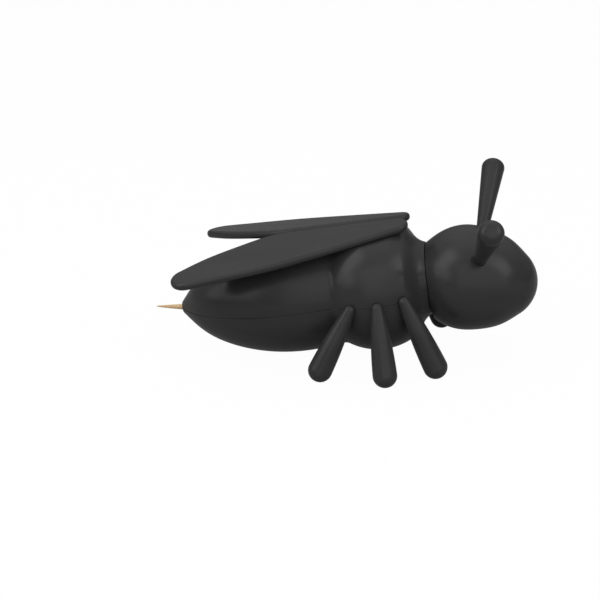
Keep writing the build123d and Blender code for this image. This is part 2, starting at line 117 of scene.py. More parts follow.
# %% [markdown]
# ## Curves of a drawing
# A turned form needs only half its outline. A Bezier curve could be nudged by eye, but a few
# measured points and the slope at each end are easier to keep true: the cubic curve through them is
# worked out here, and arcs come from their centre and two angles.

# %% Smooth curve, arc and inset


def smooth_curve(points, start_slope, end_slope, count):
    """Cubic curve through points that leaves and arrives at slopes in degrees."""
    points = np.array(points, float)
    knots = np.r_[0, np.cumsum(np.linalg.norm(np.diff(points, axis=0), axis=1))]
    size = len(points)
    near = min(size, 4)
    speeds = []
    for part, at in ((slice(0, near), knots[0]), (slice(size - near, size), knots[-1])):
        fits = [np.polyfit(knots[part], points[part, axis], near - 1) for axis in (0, 1)]
        speeds.append(math.hypot(*[np.polyval(np.polyder(fit), at) for fit in fits]))
    matrix = np.zeros((size, size))
    target = np.zeros((size, 2))
    for row, slope, speed in ((0, start_slope, speeds[0]), (size - 1, end_slope, speeds[1])):
        matrix[row, row] = 1
        target[row] = speed * np.array((math.cos(math.radians(slope)), math.sin(math.radians(slope))))
    gaps = np.diff(knots)
    for row in range(1, size - 1):
        before, after = gaps[row - 1], gaps[row]
        matrix[row, row - 1 : row + 2] = (1 / before, 2 / before + 2 / after, 1 / after)
        steps = (points[row] - points[row - 1]) / before**2 + (points[row + 1] - points[row]) / after**2
        target[row] = 3 * steps
    speed = np.linalg.solve(matrix, target)
    made = []
    for at in np.linspace(knots[0], knots[-1], count):
        k = max(min(int(np.searchsorted(knots, at, side="right")) - 1, size - 2), 0)
        gap = gaps[k]
        t = (at - knots[k]) / gap
        made.append(
            (2 * t**3 - 3 * t**2 + 1) * points[k]
            + (t**3 - 2 * t**2 + t) * gap * speed[k]
            + (3 * t**2 - 2 * t**3) * points[k + 1]
            + (t**3 - t**2) * gap * speed[k + 1]
        )
    return made


def arc(centre, radius, start, end, count):
    """Points of an arc from one angle to another, in degrees."""
    angles = np.radians(np.linspace(start, end, count))
    return [np.array(centre) + radius * np.array((math.cos(a), math.sin(a))) for a in angles]


def inset(outline, depth):
    """Outline moved to its right-hand side by a depth."""
    outline = np.array(outline)
    ways = np.gradient(outline, axis=0)
    ways /= np.linalg.norm(ways, axis=1)[:, None]
    return list(outline + np.c_[ways[:, 1], -ways[:, 0]] * depth)


def joined(*parts):
    """One list of points without the doubles where its parts meet."""
    points = []
    for part in parts:
        for point in part:
            point = np.array(point, float)
            if not points or np.linalg.norm(point - points[-1]) > 1e-6:
                points.append(point)
    return points


def slope_between(start, end):
    """Slope in degrees from one point to another."""
    return math.degrees(math.atan2(end[1] - start[1], end[0] - start[0]))


print("an arc of 3 points:", [p.round(2).tolist() for p in arc((0, 0), 1, 0, 90, 3)])

# %% [markdown]
# ## Outline of the body
# The tail swells into the abdomen, a waist cuts in with a small round, and the thorax is a ball
# whose shoulder runs down into the neck. The neck's rim is a moulded edge and gets a tiny round: a
# real edge catches a thin line of light, and a perfectly sharp one looks drawn.

# %% Outer and inner outline of the body
TAIL_RADIUS = 1.65
TAIL_SLOPE = 48.0
ABDOMEN_SHAPE = [(5.3, 7.1), (15.3, 12.5), (31.0, 15.2)]
WAIST = (ABDOMEN_LENGTH, 14.1)
WAIST_SLOPE = -10.0
WAIST_ROUND = 3.0
WAIST_TRIM = 0.1
THORAX_TOP = (THORAX_STATION, 17.0)
SHOULDER = (SHOULDER_STATION, 14.5)
COVE = (COVE_STATION, 11.0)
NECK_RADIUS = 9.2
NECK_SLOPE = -15.0
WALL = 1.8
RIM = 0.3
HOLLOW_START = 1.2
SKIN_BAND = 0.1


def circle_through(a, b, c):
    """Centre and radius of the circle through three points."""
    rows = [[2 * (q[0] - a[0]), 2 * (q[1] - a[1])] for q in (b, c)]
    sums = [q[0] ** 2 + q[1] ** 2 - a[0] ** 2 - a[1] ** 2 for q in (b, c)]
    centre = np.linalg.solve(rows, sums)
    return centre, float(np.hypot(a[0] - centre[0], a[1] - centre[1]))


def between_points(outline, at):
    """Places of an outline at fractional numbers in its list of points."""
    outline = np.array(outline)
    steps = np.arange(len(outline))
    return np.stack([np.interp(at, steps, outline[:, axis]) for axis in (0, 1)], axis=-1)


def rounded_valley(first, second, radius):
    """Two outlines that meet in a valley, cut back, and the arc that joins them."""
    sides = (first, second)
    fine = [np.linspace(0, len(side) - 1, 3000) for side in sides]
    lifted = [between_points(inset(side, -radius), at) for side, at in zip(sides, fine)]
    apart = np.linalg.norm(lifted[0][:, None] - lifted[1][None, :], axis=2)
    nearest = np.unravel_index(apart.argmin(), apart.shape)
    centre = sum(side[k] for side, k in zip(lifted, nearest)) / 2
    ends = [between_points(side, at[k]) for side, at, k in zip(sides, fine, nearest)]
    bow = arc(centre, radius, *[slope_between(centre, end) for end in ends], 14)
    rear = [p for p in first if p[0] < ends[0][0] - WAIST_TRIM]
    return joined(rear, bow, [p for p in second if p[0] > ends[1][0] + WAIST_TRIM])


ball_centre, ball_radius = circle_through(WAIST, THORAX_TOP, SHOULDER)
ball_start = slope_between(ball_centre, WAIST)
ball_end = slope_between(ball_centre, SHOULDER)
abdomen = smooth_curve([(0, TAIL_RADIUS), *ABDOMEN_SHAPE, WAIST], TAIL_SLOPE, WAIST_SLOPE, 70)
thorax = arc(ball_centre, ball_radius, ball_start, ball_end, 60)
neck = smooth_curve([SHOULDER, COVE, (BODY_LENGTH, NECK_RADIUS)], ball_end - 90, NECK_SLOPE, 26)
body_outline = np.array(joined(rounded_valley(abdomen, thorax, WAIST_ROUND), neck))
ball_inside = arc(ball_centre, ball_radius - WALL, ball_start, ball_end, 50)
abdomen_inside = [p for p in inset(abdomen, WALL) if p[0] > HOLLOW_START]
print("thorax ball: centre", ball_centre.round(3), "radius", round(ball_radius, 3))


def body_radius(station):
    """Outer radius of the body at a station."""
    return np.interp(station, body_outline[:, 0], body_outline[:, 1])


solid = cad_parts["lower_shell"].data
found = np.array([(BODY_FRAME.inverted() @ (v.co / MM))[:] for v in solid.vertices])
off = np.abs(np.hypot(found[:, 1], found[:, 2]) - body_radius(found[:, 0]))
skin = off[off < SKIN_BAND]
print(len(skin), "skin points of the solid, middle distance off the outline, mm:", np.median(skin).round(4))

# %% [markdown]
# ## Sums in node trees
# Both the shape trees and the finishes below are node trees full of small sums. Typed as nodes they
# fill a page; this little class wraps a socket, so that a sum is written as a sum.

# %% A socket that can be added and multiplied, and a tree that is filled by calls


class Term:
    """A socket in a node tree, with Python's arithmetic."""

    def __init__(self, graph, socket):
        self.graph = graph
        self.socket = socket

    def maths(self, operation, *others):
        """A Math node on this term and others."""
        inputs = dict(enumerate((self, *others)))
        return self.graph.term("ShaderNodeMath", inputs, operation=operation)

    def __add__(self, other):
        return self.maths("ADD", other)

    def __sub__(self, other):
        return self.maths("SUBTRACT", other)

    def __mul__(self, other):
        return self.maths("MULTIPLY", other)

    def __truediv__(self, other):
        return self.maths("DIVIDE", other)

    def __rsub__(self, other):
        return self.graph.term("ShaderNodeMath", {0: other, 1: self}, operation="SUBTRACT")

    __radd__ = __add__
    __rmul__ = __mul__


class Graph:
    """A node tree that is filled by calls."""

    def __init__(self, tree):
        self.tree = tree

    def node(self, kind, inputs=None, **settings):
        """A node with its settings made first and its sockets fed after."""
        made = self.tree.nodes.new(kind)
        for name, value in settings.items():
            setattr(made, name, value)
        for name, value in (inputs or {}).items():
            if isinstance(value, (Term, bpy.types.NodeSocket)):
                self.tree.links.new(getattr(value, "socket", value), made.inputs[name])
            else:
                made.inputs[name].default_value = value
        return made

    def term(self, kind, inputs=None, output=0, **settings):
        """The named or numbered output of a new node."""
        return Term(self, self.node(kind, inputs, **settings).outputs[output])

    def parts(self, vector):
        """The three parts of a vector."""
        return [Term(self, socket) for socket in self.node("ShaderNodeSeparateXYZ", {0: vector}).outputs]


def shape_tree(name, inputs):
    """Geometry Nodes tree with named inputs, as its graph and its inputs as terms."""
    tree = bpy.data.node_groups.new(name, "GeometryNodeTree")
    for title, kind in inputs.items():
        tree.interface.new_socket(title, in_out="INPUT", socket_type="NodeSocket" + kind)
    tree.interface.new_socket("Geometry", in_out="OUTPUT", socket_type="NodeSocketGeometry")
    g = Graph(tree)
    sockets = g.node("NodeGroupInput").outputs
    return g, {socket.name: Term(g, socket) for socket in sockets if socket.name}


def close_tree(g, shape, material):
    """Make copies real, give them their material and hand them out."""
    real = g.term("GeometryNodeRealizeInstances", {"Geometry": shape})
    dressed = g.term("GeometryNodeSetMaterial", {"Geometry": real, "Material": material})
    g.node("NodeGroupOutput", {"Geometry": dressed})
    return g.tree


print("helpers for node trees:", Term.__name__, "and", Graph.__name__)

# %% [markdown]
# ## A lathe made of Geometry Nodes
# Nearly every part here is turned: shells, head, antennae, legs, plug, screws and toothpicks. Spin
# in mesh code would do it, but a Geometry Nodes tree keeps the rule in one place with named
# inputs. The drawing's points come in as a line of vertices (along, radius, skin). A grid gets one
# row of vertices for each of them, and each vertex is then placed round the axis. The two halves
# of the body meet in a fine groove, so the first and last rows can step in by the groove's depth
# where "skin" is 1, and they lie at a set distance from the parting plane instead of an angle.

# %% The lathe tree
SMALLEST_RADIUS = 1e-9
AXIS_MERGE = 0.001


def lathe_tree():
    """Geometry Nodes tree that turns a drawn outline about the X axis."""
    inputs = {"Outline": "Geometry", "Segments": "Int"}
    for title in ("Start Angle", "Sweep Angle", "Groove Depth", "Groove Half Width", "Groove Lip"):
        inputs[title] = "Float"
    g, given = shape_tree("lathe", inputs | {"Material": "Material"})
    rings = g.term("GeometryNodeAttributeDomainSize", {0: given["Outline"]}, component="MESH")
    rows = given["Segments"] + 1
    grid = g.node("GeometryNodeMeshGrid", {"Vertices X": rings, "Vertices Y": rows})
    index = g.term("GeometryNodeInputIndex")
    ring = ((index + 0.5) / rows).maths("FLOOR")
    row = index - ring * rows
    sockets = {"Geometry": given["Outline"], "Value": g.term("GeometryNodeInputPosition"), "Index": ring}
    along, radius, skin = g.parts(g.term("GeometryNodeSampleIndex", sockets, data_type="FLOAT_VECTOR"))
    last = given["Segments"]
    from_end = row.maths("MINIMUM", last - row)
    lip = given["Groove Lip"]
    in_first, in_two, in_three = [from_end.maths("LESS_THAN", count - 0.5) for count in (1, 2, 3)]
    offset = given["Groove Half Width"] * (1 - in_first) + lip * (1 - in_three)
    turned = radius - skin * (in_two * given["Groove Depth"] + (in_three - in_two) * lip)
    lift = (offset / turned.maths("MAXIMUM", SMALLEST_RADIUS)).maths("MINIMUM", 1.0).maths("ARCSINE")
    share = ((row - 3) / (last - 6)).maths("MAXIMUM", 0.0).maths("MINIMUM", 1.0)
    far_half = row.maths("GREATER_THAN", last * 0.5)
    middle = lift + (given["Sweep Angle"] - lift * 2) * share
    edge = far_half * (given["Sweep Angle"] - lift) + (1 - far_half) * lift
    angle = given["Start Angle"] + in_three * edge + (1 - in_three) * middle
    across = turned * angle.maths("COSINE")
    above = turned * angle.maths("SINE")
    spot = g.term("ShaderNodeCombineXYZ", {0: along, 1: across, 2: above})
    spun = g.term("GeometryNodeSetPosition", {"Geometry": grid.outputs["Mesh"], "Position": spot})
    sockets = {"Geometry": spun, "Name": "turned_place", "Value": spot}
    kept = g.term("GeometryNodeStoreNamedAttribute", sockets, data_type="FLOAT_VECTOR", domain="POINT")
    merged = g.term("GeometryNodeMergeByDistance", {"Geometry": kept, "Distance": AXIS_MERGE})
    return close_tree(g, merged, given["Material"])


LATHE = lathe_tree()
print("lathe nodes:", len(LATHE.nodes))

# %% [markdown]
# ## From a tree to a plain mesh
# A modifier's inputs are set by identifier before the object is first looked at. The result is
# read off the evaluated object as a plain mesh, the drawing is thrown away, and the mesh is laid
# on its axis, so the finished object sits at the origin, unturned and unscaled.

# %% Turning and closing


def object_from(data, name):
    """New object in the scene for a mesh, a lens or a lamp."""
    made = bpy.data.objects.new(name, data)
    bpy.context.scene.collection.objects.link(made)
    return made


def evaluated_mesh(thing):
    """Plain mesh of an object with its modifiers."""
    return bpy.data.meshes.new_from_object(thing.evaluated_get(bpy.context.evaluated_depsgraph_get()))


def grown_mesh(thing, tree, values):
    """Plain mesh that a tree with set inputs makes of an object. The object is used up."""
    maker = thing.modifiers.new("maker", "NODES")
    maker.node_group = tree
    for item in tree.interface.items_tree:
        if item.name in values:
            maker[item.identifier] = values[item.name]
    mesh = evaluated_mesh(thing)
    bpy.data.objects.remove(thing)
    return mesh


def mesh_from(work, name):
    """Mesh of a bmesh whose faces are turned outwards. The bmesh is used up."""
    bmesh.ops.recalc_face_normals(work, faces=work.faces)
    mesh = bpy.data.meshes.new(name)
    work.to_mesh(mesh)
    work.free()
    return mesh


def tidy_mesh(mesh, merge=0.002):
    """Merge doubles, drop stray edges, close open rims and face outwards. Units are mm."""
    work = bmesh.new()
    work.from_mesh(mesh)
    bmesh.ops.remove_doubles(work, verts=work.verts, dist=merge)
    bmesh.ops.dissolve_degenerate(work, dist=merge / 4, edges=work.edges)
    bmesh.ops.delete(work, geom=[e for e in work.edges if not e.link_faces], context="EDGES")
    bmesh.ops.delete(work, geom=[v for v in work.verts if not v.link_edges], context="VERTS")
    rims = [e for e in work.edges if e.is_boundary]
    if rims:
        bmesh.ops.holes_fill(work, edges=rims, sides=0)
    bmesh.ops.recalc_face_normals(work, faces=work.faces)
    work.to_mesh(mesh)
    work.free()
    return mesh


def turn(name, points, segments=96, start=0.0, sweep=360.0, groove=(0.0, 0.0, 0.0), skin=None):
    """Closed part in mm, turned about X from points (along, radius)."""
    flags = skin or [0.0] * len(points)
    outline = bpy.data.meshes.new(name + "_outline")
    spots = [(p[0], p[1], flag) for p, flag in zip(points, flags)]
    outline.from_pydata(spots, [(k, k + 1) for k in range(len(spots) - 1)], [])
    values = {
        "Segments": segments,
        "Start Angle": math.radians(start),
        "Sweep Angle": math.radians(sweep),
        "Groove Depth": groove[0],
        "Groove Half Width": groove[1],
        "Groove Lip": groove[2],
    }
    mesh = grown_mesh(object_from(outline, name + "_outline"), LATHE, values)
    mesh.name = name
    return object_from(tidy_mesh(mesh), name)


def cylinder(name, radius, low, high, segments=48):
    """Cylinder about X from low to high."""
    return turn(name, [(low, 0), (low, radius), (high, radius), (high, 0)], segments)


print("turned parts come from the tree:", LATHE.name)

# %% [markdown]
# ## Cutting
# Seats, holes and the hollow are cut with closed knives. Cutting a mesh by hand would give cleaner
# faces, but a Boolean modifier with its exact solver also copes with faces that meet. Its result
# is read off at once, so that no modifier is left on a part.

# %% Cutting, drawing out and placing


def carve(target, tool, operation="DIFFERENCE", keep_tool=False):
    """Cut, add or intersect one closed part with another."""
    knife = target.modifiers.new("carve", "BOOLEAN")
    knife.operation = operation
    knife.solver = "EXACT"
    knife.object = tool
    mesh = evaluated_mesh(target)
    target.modifiers.remove(knife)
    old = target.data
    target.data = mesh
    bpy.data.meshes.remove(old)
    if not keep_tool:
        bpy.data.objects.remove(tool)
    return target


def oblong(left, right, bottom, top):
    """Corners (y, z) of a rectangle."""
    return [(left, bottom), (right, bottom), (right, top), (left, top)]


def prism(name, corners, low, high):
    """Closed prism in mm: corners (y, z) drawn out along X from low to high."""
    work = bmesh.new()
    rear = [work.verts.new((low, y, z)) for y, z in corners]
    front = [work.verts.new((high, y, z)) for y, z in corners]
    work.faces.new(rear)
    work.faces.new(list(reversed(front)))
    for k in range(len(corners)):
        after = (k + 1) % len(corners)
        work.faces.new((rear[k], rear[after], front[after], front[k]))
    return object_from(mesh_from(work, name), name)


def moved(thing, matrix):
    """The same object with its mesh moved by a matrix."""
    thing.data.transform(matrix)
    return thing


STAND_UP = Matrix.Rotation(-math.pi / 2, 4, "Y")
print("standing up turns X into", [round(v) for v in STAND_UP @ LEVEL])

# %% [markdown]
# ## Worn edges
# A moulded edge that is touched a lot turns a little lighter and smoother. A shader can find edges
# by itself, but only in one renderer, so the wear is measured on the mesh: the sharper a vertex
# bends outwards for its edge lengths, the more wear it gets, kept as an attribute of the mesh.

# %% Wear attribute and soft shading
EDGE_ANGLE = math.radians(32)
WEAR_START = 0.5
WEAR_SPAN = 1.5
SHORTEST_EDGES = 0.3


def finish_mesh(thing, name, material, body, *nodes):
    """Name a part, give it shading, wear and material, bring it to metres, and tell the frame."""
    thing.name = name
    work = bmesh.new()
    work.from_mesh(thing.data)
    bmesh.ops.recalc_face_normals(work, faces=work.faces)
    bends = {}
    for edge in work.edges:
        if len(edge.link_faces) == 2:
            angle = edge.calc_face_angle_signed(0.0)
            edge.smooth = abs(angle) < EDGE_ANGLE
            bends[edge.index] = angle
    work.verts.index_update()
    work.edges.index_update()
    wear = np.zeros(len(work.verts))
    for vert in work.verts:
        total = sum(bends.get(edge.index, 0.0) for edge in vert.link_edges)
        length = sum(edge.calc_length() for edge in vert.link_edges)
        wear[vert.index] = total / max(length, SHORTEST_EDGES)
    for face in work.faces:
        face.smooth = True
    work.to_mesh(thing.data)
    work.free()
    wear = np.clip((wear - WEAR_START) / WEAR_SPAN, 0, 1)
    layer = thing.data.attributes.new("edge_wear", "FLOAT", "POINT")
    layer.data.foreach_set("value", wear.astype(np.float32))
    thing.data.transform(Matrix.Scale(MM, 4))
    thing.data.materials.clear()
    thing.data.materials.append(material)
    for face in thing.data.polygons:
        face.material_index = 0
    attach(thing, body)
    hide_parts(*nodes)
    triangles = sum(len(face.vertices) - 2 for face in thing.data.polygons)
    print(f"{thing.name}: {triangles} triangles on {body}")


print("edges that bend more than", round(math.degrees(EDGE_ANGLE)), "degrees stay sharp")

# %% [markdown]
# ## Finishes
# The dispenser is moulded in one black plastic with a satin, finely eroded surface. Its colour
# could be a single dark grey, but a real moulding varies: flow lines, faint handling marks,
# lighter polished edges and a fine grain that breaks up the highlight. All of it is computed from
# the object's own coordinates, so no picture is needed and no seam can show.

# %% Black plastic
PLASTIC_DARK = 0.033
PLASTIC_LIGHT = 0.039
PLASTIC_WORN = 0.057
PLASTIC_ROUGHNESS = 0.25
PLASTIC_GLOSS = 0.18
FLOW_SCALE = (40.0, 130.0, 130.0)
MARK_SCALE = (260.0, 5200.0, 900.0)
PATCH_SCALE = 900.0
GRAIN_SCALE = 7000.0
FINE_SCALE = 16000.0


def new_finish(name):
    """Empty node material and its graph."""
    finish = bpy.data.materials.new(name)
    finish.use_nodes = True
    finish.node_tree.nodes.clear()
    return finish, Graph(finish.node_tree)


def noise(g, place, scale, detail=2.0, roughness=0.5):
    """Noise between 0 and 1 at a place."""
    sockets = {"Vector": place, "Scale": scale, "Detail": detail, "Roughness": roughness}
    return g.term("ShaderNodeTexNoise", sockets)


def stretched(g, place, scale):
    """Place with each axis scaled on its own."""
    return g.term("ShaderNodeMapping", {"Vector": place, "Scale": scale})


def ranged(g, value, low, high, to_low=0.0, to_high=1.0):
    """Value brought from one range to another, and held inside it."""
    sockets = {0: value, 1: low, 2: high, 3: to_low, 4: to_high}
    return g.term("ShaderNodeMapRange", sockets, interpolation_type="SMOOTHSTEP")


def mixed(g, share, first, second):
    """Colour between two colours."""
    return g.term("ShaderNodeMix", {0: share, 6: first, 7: second}, output=2, data_type="RGBA")


def grey(value, warm=0.0):
    """Linear grey, a little warm or cool."""
    return (value * (1 + warm), value, value * (1 - warm), 1.0)


def shaded(g, colour, roughness, heights, metallic=0.0, level=0.5):
    """Principled surface with a stack of bumps: (height, strength, distance in mm)."""
    normal = None
    for height, strength, distance in heights:
        sockets = {"Height": height, "Strength": strength, "Distance": distance * MM}
        if normal is not None:
            sockets["Normal"] = normal
        normal = g.term("ShaderNodeBump", sockets)
    sockets = {"Base Color": colour, "Roughness": roughness, "Metallic": metallic, "Normal": normal}
    sockets["Specular IOR Level"] = level
    surface = g.node("ShaderNodeBsdfPrincipled", sockets)
    g.node("ShaderNodeOutputMaterial", {"Surface": surface.outputs[0]})


def black_plastic():
    """Satin black moulded plastic."""
    finish, g = new_finish("satin_black_plastic")
    place = g.term("ShaderNodeTexCoord", output="Object")
    wear = g.term("ShaderNodeAttribute", output="Fac", attribute_name="edge_wear")
    patchy = noise(g, place, PATCH_SCALE, 4.0, 0.6)
    worn = wear * ranged(g, patchy, 0.3, 0.75, 0.25, 1.0)
    flow = noise(g, stretched(g, place, FLOW_SCALE), 1.0, 3.0)
    grain = noise(g, place, GRAIN_SCALE, 2.0, 0.6)
    fine = noise(g, place, FINE_SCALE, 1.0)
    marks = noise(g, stretched(g, place, MARK_SCALE), 1.0, 1.0)
    rubbed = ranged(g, marks, 0.68, 0.8)
    body = mixed(g, ranged(g, flow, 0.3, 0.7), grey(PLASTIC_DARK), grey(PLASTIC_LIGHT, 0.01))
    colour = mixed(g, worn * 0.4, body, grey(PLASTIC_WORN, 0.02))
    rough = PLASTIC_ROUGHNESS + (flow - 0.5) * 0.08 + (grain - 0.5) * 0.12 - worn * 0.05 - rubbed * 0.04
    heights = [(flow, 0.25, 0.05), (grain, 0.35, 0.012), (fine, 0.3, 0.005)]
    shaded(g, colour, rough, heights, level=PLASTIC_GLOSS)
    return finish


BLACK = black_plastic()
print("finish:", BLACK.name, "with", len(BLACK.node_tree.nodes), "nodes")

# %% [markdown]
# The toothpicks are bamboo: pale, with straight fibres that run to the points, where the cut opens
# their ends and they look darker. The fibres must follow each pick, so this finish reads the
# place that the lathe noted on every vertex before the pick was laid on its axis.

# %% Bamboo and screw steel
PICK_LENGTH = 65.0
PICK_TAPER = 11.0
BAMBOO_BROWN = (0.74, 0.50, 0.25, 1)
BAMBOO_PALE = (0.86, 0.66, 0.40, 1)
BAMBOO_AGED = (0.70, 0.44, 0.20, 1)
BAMBOO_FLECK = (0.42, 0.22, 0.08, 1)
BAMBOO_POINT = (0.56, 0.33, 0.13, 1)
TONE_SCALE = 420.0
FIBRE_SCALE = (0.16, 5.0, 5.0)
THREAD_SCALE = (0.5, 14.0, 14.0)
FLECK_SCALE = (0.9, 7.0, 7.0)
STEEL_BRIGHT = (0.56, 0.56, 0.57, 1)
STEEL_DULL = (0.38, 0.38, 0.40, 1)
DULL_SCALE = (3.0, 3.0, 3.0)
RING_SCALE = 70.0


def bamboo_wood():
    """Bamboo with fibres along the pick."""
    finish, g = new_finish("split_bamboo")
    place = g.term("ShaderNodeAttribute", output="Vector", attribute_name="turned_place")
    spot = g.term("ShaderNodeTexCoord", output="Object")
    along = g.parts(place)[0]
    tone = noise(g, spot, TONE_SCALE, 1.0)
    fibre = noise(g, stretched(g, place, FIBRE_SCALE), 1.0, 3.0, 0.65)
    thread = noise(g, stretched(g, place, THREAD_SCALE), 1.0, 2.0, 0.6)
    fleck = ranged(g, noise(g, stretched(g, place, FLECK_SCALE), 1.0, 1.0), 0.64, 0.74)
    middle = PICK_LENGTH / 2
    point = ranged(g, (along - middle).maths("ABSOLUTE"), middle - PICK_TAPER, middle)
    pale = mixed(g, ranged(g, fibre, 0.35, 0.65), BAMBOO_BROWN, BAMBOO_PALE)
    toned = mixed(g, ranged(g, tone, 0.3, 0.7, 0.0, 0.4), pale, BAMBOO_AGED)
    flecked = mixed(g, fleck * 0.6, toned, BAMBOO_FLECK)
    colour = mixed(g, point * 0.55, flecked, BAMBOO_POINT)
    rough = 0.52 + (thread - 0.5) * 0.3 + fleck * 0.1
    shaded(g, colour, rough, [(fibre, 0.5, 0.05), (thread, 0.6, 0.03)], level=0.4)
    return finish


def screw_steel():
    """Turned and plated steel."""
    finish, g = new_finish("plated_steel")
    place = g.term("ShaderNodeAttribute", output="Vector", attribute_name="turned_place")
    _, across, above = g.parts(place)
    radius = (across * across + above * above).maths("SQRT")
    rings = (radius * RING_SCALE).maths("SINE") * 0.5 + 0.5
    dull = noise(g, stretched(g, place, DULL_SCALE), 1.0, 3.0)
    colour = mixed(g, ranged(g, dull, 0.35, 0.7), STEEL_BRIGHT, STEEL_DULL)
    rough = 0.27 + rings * 0.08 + dull * 0.15
    shaded(g, colour, rough, [(rings, 0.25, 0.01), (dull, 0.2, 0.01)], metallic=1.0)
    return finish


BAMBOO = bamboo_wood()
STEEL = screw_steel()
print("finishes:", BAMBOO.name, "and", STEEL.name)

# %% [markdown]
# ## Legs
# Six tapered clubs stand on small flats. Each grows out of a ball root just off the thorax, and a
# stub with a flange goes through the shell behind it. The club and its stub are two turned forms
# joined into one skin. Enlarged copies are kept as knives, because the shells have seats that
# follow the legs with a little room.

# %% Leg places and forms
LEGS = {"hind": (-4.9, -7.47, 2.87), "middle": (1.91, 2.01, 4.35), "front": (8.2, 7.64, 0.7)}
FOOT_RADIUS = 3.05
FOOT_FLAT = 0.12
ROOT_RADIUS = 1.4
LEG_SWELL = 0.3
STANDOFF = 0.5
STUB_RADIUS = 1.1
FLANGE_RADIUS = 1.4
FLANGE_GAP = 0.35
FLANGE_THICKNESS = 0.7
FLANGE_START = STANDOFF + WALL + FLANGE_GAP
FLANGE_END = FLANGE_START + FLANGE_THICKNESS
LEG_CLEARANCE = 0.08
STUB_CLEARANCE = 0.08


def leg_places(name, side):
    """Root, outward direction and foot centre of a leg."""
    ahead, foot_ahead, foot_outside = LEGS[name]
    angle = math.asin((THORAX_STATION + ahead - ball_centre[0]) / ball_radius)
    out = FORWARD * math.sin(angle) + LEFT * (side * math.cos(angle))
    centre = TAIL + FORWARD * ball_centre[0] + LEFT * (side * ball_centre[1])
    root = centre + out * (ball_radius + STANDOFF)
    foot = Vector((root.x + foot_ahead, root.y + side * foot_outside, FOOT_RADIUS - FOOT_FLAT))
    return root, out, foot


def club_points(length, small, large, swell):
    """Outline of a club: a small ball, a swelling side and a large ball."""
    lean = math.degrees(math.atan2(large - small, length))
    way = np.array((math.cos(math.radians(90 + lean)), math.sin(math.radians(90 + lean))))
    start = way * small
    end = np.array((length, 0)) + way * large
    middle = (start + end) / 2 + way * swell
    centre, radius = circle_through(start, middle, end)
    side = arc(centre, radius, slope_between(centre, start), slope_between(centre, end), 26)
    root = arc((0, 0), small, 180, 90 + lean, 12)
    foot = arc((length, 0), large, 90 + lean, 0, 24)
    points = joined(root, side, foot)
    points[0][1] = points[-1][1] = 0
    return points


def leg_form(name, side, segments, extra_club=0.0, extra_stub=0.0):
    """Leg of one side, or an enlarged one as a knife."""
    root, out, foot = leg_places(name, side)
    run = foot - root
    points = club_points(run.length, ROOT_RADIUS + extra_club, FOOT_RADIUS + extra_club, LEG_SWELL)
    club = moved(turn("club", points, segments), laid_on(root, run, out))
    radius = STUB_RADIUS + extra_stub
    stub = [(0, 0), (0, radius), (FLANGE_START, radius)]
    if not extra_stub:
        stub += [(FLANGE_START, FLANGE_RADIUS), (FLANGE_END, FLANGE_RADIUS)]
    stub += [(FLANGE_END, stub[-1][1]), (FLANGE_END, 0)]
    peg = moved(turn("stub", joined(stub), 48), laid_on(root, -out, run))
    return carve(club, peg, "UNION")


for leg_name in LEGS:
    for side_name, side in SIDES.items():
        leg = leg_form(leg_name, side, 72)
        for vert in leg.data.vertices:
            vert.co.z = max(vert.co.z, 0.0)
        node = f"leg_{leg_name}_{side_name}"
        finish_mesh(leg, node + "_club", BLACK, "body", node)

# %% [markdown]
# ## Body shells
# The skin of the two shells is one turned form, cut along the parting plane. Making the halves by
# slicing would leave a plain cut; turned as two half sweeps with the groove rule of the lathe,
# they meet in the fine dark line that a real seam shows. The hollow is a second turned form. What
# stands in it, such as screw bosses, cradle ribs and the pads under the wing pegs, is taken out
# of the hollow first, so a single cut leaves it standing in the shell.

# %% The hollow of the body
ROOF_ANGLE = math.radians(8.7)
WING_RIDGE = 16.4
WING_THICKNESS = 2.0
WING_CLEARANCE = 0.15
WING_PIVOT_AHEAD = 7.8
SOCKET_RADIUS = 7.75
SOCKET_DEPTH = 6.0
SOCKET_LIP = 1.3
SOCKET_CHAMFER = 0.25
KEY_HALF = 0.8
KEY_FLOOR = 7.25
KEY_ROOF = 8.4
KEY_CLEARANCE = 0.12
KEY_ROOT = 0.5
SCREWS = [(52.0, side * 9.4) for side in (1, -1)]
SCREW_SEAT = 4.0
SCREW_HEAD = 1.9
SCREW_SHANK = 0.95
SCREW_WELL = SCREW_HEAD + 0.2
BOSS_RADIUS = SCREW_WELL + 1.0
RIB_STATIONS = (36.0, 50.0)
RIB_THICKNESS = 1.4
STOCK_FLOOR = 4.6
RIB_CLEARANCE = 0.1
PICK_RADIUS = 1.0
FAR = 40.0
OVERCUT = 1.0
roof_depth = WING_THICKNESS / 2 + WING_CLEARANCE


def gable(below_wings):
    """Everything above the two roof planes at a depth below the wings' middle."""
    ridge = WING_RIDGE - below_wings / math.cos(ROOF_ANGLE)
    eave = ridge - FAR * math.tan(ROOF_ANGLE)
    corners = [(0, ridge), (FAR, eave), (FAR, FAR), (-FAR, FAR), (-FAR, eave)]
    return prism("gable", corners, -FAR / 4, 2 * FAR)


def upright(name, radius, low, high, place):
    """Cylinder square to the parting plane at (station, across)."""
    stand = Matrix.Translation((place[0], place[1], 0)) @ STAND_UP
    return moved(cylinder(name, radius, low, high), stand)


